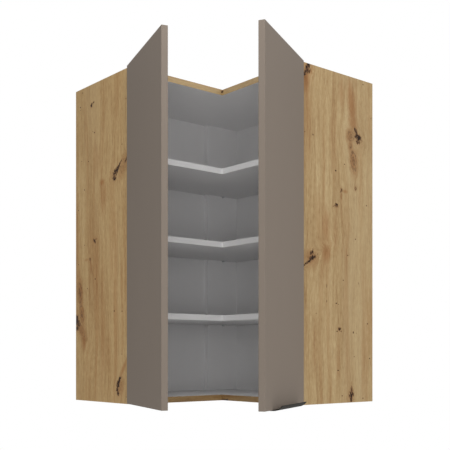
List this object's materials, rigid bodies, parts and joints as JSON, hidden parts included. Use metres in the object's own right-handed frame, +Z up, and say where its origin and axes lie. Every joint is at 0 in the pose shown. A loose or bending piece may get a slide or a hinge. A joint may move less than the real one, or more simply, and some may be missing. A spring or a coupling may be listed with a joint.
{
  "type": "corner wall cabinet",
  "caption": "L-shaped corner wall cabinet with oak-look sides, grey-brown doors on coupled-link hinges, inner shelves and a black edge grip.",
  "frame": {"origin": "the room corner at the level of the cabinet's underside: where the planes of the two walls meet the plane of the underside", "axes": "+X along the right wall away from the corner, -Y along the left wall away from the corner, +Z up; the doors open towards +X -Y"},
  "size_m": [0.746, 0.7059, 0.891],
  "materials": {
    "oak_board": "knotty oak decor on faced chipboard, matt",
    "white_board": "white decor on faced chipboard, fine pearl matt",
    "back_board": "white-lacquered hardboard",
    "door_board": "grey-brown matt foil on fibreboard",
    "black_grip": "black, satin anodised",
    "hinge_steel": "nickel-plated pressed steel",
    "zinc_cast": "nickel-plated zinc casting",
    "screw_steel": "zinc-plated steel",
    "hanger_plastic": "white moulded plastic",
    "dowel_wood": "beech, fluted",
    "buffer_clear": "clear soft plastic pad"
  },
  "bodies": {
    "carcass": {"left_side_panel": "oak_board", "right_side_panel": "oak_board", "top_panel": "white_board", "bottom_panel": "white_board", "corner_post": "white_board", "left_back_panel": "back_board", "right_back_panel": "back_board", "shelf_lower": "white_board", "shelf_middle": "white_board", "shelf_upper": "white_board", "shelf_pins": "screw_steel", "cam_locks": "zinc_cast", "cam_bolts": "screw_steel", "dowels": "dowel_wood", "post_screws": "screw_steel", "left_hanger_housing": "hanger_plastic", "right_hanger_housing": "hanger_plastic", "left_hanger_hook": "hinge_steel", "right_hanger_hook": "hinge_steel", "hanger_screws": "screw_steel", "hinge_plate_screws": "screw_steel", "hinge_arm_screws": "screw_steel", "left_lower_hinge_plate": "zinc_cast", "left_lower_hinge_arm": "hinge_steel", "left_upper_hinge_plate": "zinc_cast", "left_upper_hinge_arm": "hinge_steel", "right_lower_hinge_plate": "zinc_cast", "right_lower_hinge_arm": "hinge_steel", "right_upper_hinge_plate": "zinc_cast", "right_upper_hinge_arm": "hinge_steel"},
    "left_door": {"left_door_panel": "door_board", "left_lower_hinge_cup": "hinge_steel", "left_upper_hinge_cup": "hinge_steel", "left_cup_screws": "screw_steel", "left_door_buffers": "buffer_clear"},
    "left_inner_links": {"left_lower_hinge_inner_link": "hinge_steel", "left_upper_hinge_inner_link": "hinge_steel"},
    "left_outer_links": {"left_lower_hinge_outer_link": "hinge_steel", "left_upper_hinge_outer_link": "hinge_steel"},
    "right_door": {"right_door_panel": "door_board", "right_lower_hinge_cup": "hinge_steel", "right_upper_hinge_cup": "hinge_steel", "right_cup_screws": "screw_steel", "right_door_buffers": "buffer_clear", "handle_grip": "black_grip", "handle_screws": "screw_steel"},
    "right_inner_links": {"right_lower_hinge_inner_link": "hinge_steel", "right_upper_hinge_inner_link": "hinge_steel"},
    "right_outer_links": {"right_lower_hinge_outer_link": "hinge_steel", "right_upper_hinge_outer_link": "hinge_steel"}
  },
  "joints": [
    {"name": "left_door_hinge", "type": "hinge", "parent": "carcass", "child": "left_door", "pos_m": [0.2917, -0.6007, 0.445], "axis": [0, 0, 1], "range_deg": [-12.1, 107.9]},
    {"name": "left_inner_link_pin", "type": "hinge", "parent": "carcass", "child": "left_inner_links", "pos_m": [0.2837, -0.5767, 0.445], "axis": [0, 0, 1], "range_deg": [-12.1, 107.9]},
    {"name": "left_outer_link_pin", "type": "hinge", "parent": "left_inner_links", "child": "left_outer_links", "pos_m": [0.29761, -0.58308, 0.445], "axis": [0, 0, 1], "range_deg": [-107.9, 12.1]},
    {"name": "right_door_hinge", "type": "hinge", "parent": "carcass", "child": "right_door", "pos_m": [0.6007, -0.2917, 0.445], "axis": [0, 0, 1], "range_deg": [-117.1, 2.9]},
    {"name": "right_inner_link_pin", "type": "hinge", "parent": "carcass", "child": "right_inner_links", "pos_m": [0.5767, -0.2837, 0.445], "axis": [0, 0, 1], "range_deg": [-117.1, 2.9]},
    {"name": "right_outer_link_pin", "type": "hinge", "parent": "right_inner_links", "child": "right_outer_links", "pos_m": [0.58523, -0.29641, 0.445], "axis": [0, 0, 1], "range_deg": [-2.9, 117.1]}
  ],
  "couplings": [
    {"joint": "left_inner_link_pin", "follows": "left_door_hinge", "ratio": 1},
    {"joint": "left_outer_link_pin", "follows": "left_door_hinge", "ratio": -1},
    {"joint": "right_inner_link_pin", "follows": "right_door_hinge", "ratio": 1},
    {"joint": "right_outer_link_pin", "follows": "right_door_hinge", "ratio": -1}
  ]
}
